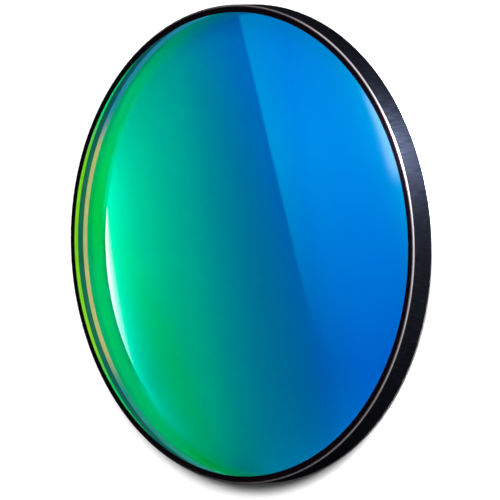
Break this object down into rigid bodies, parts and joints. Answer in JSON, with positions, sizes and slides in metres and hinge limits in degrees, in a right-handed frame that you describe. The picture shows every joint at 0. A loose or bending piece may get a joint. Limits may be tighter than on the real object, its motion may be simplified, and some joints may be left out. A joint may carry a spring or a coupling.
{
  "type": "optical bandpass filter",
  "caption": "Unmounted round interference bandpass filter: a thin bevelled glass disc with a blue-green mirror coating, a blackened edge and a narrow black rim on the front face.",
  "frame": {"origin": "middle of the rear face, which the disc lies on", "axes": "+Z along the optical axis, out of the front face with the black rim; the disc is round, so +X and +Y are free"},
  "size_m": [0.0504, 0.0504, 0.003],
  "materials": {
    "coated_glass": "polished glass with a blue-green interference coating, mirror-like",
    "black_lacquer": "satin black edge lacquer, brushed on along the axis"
  },
  "bodies": {
    "root": {"filter_glass": "coated_glass", "edge_lacquer": "black_lacquer"}
  },
  "joints": []
}
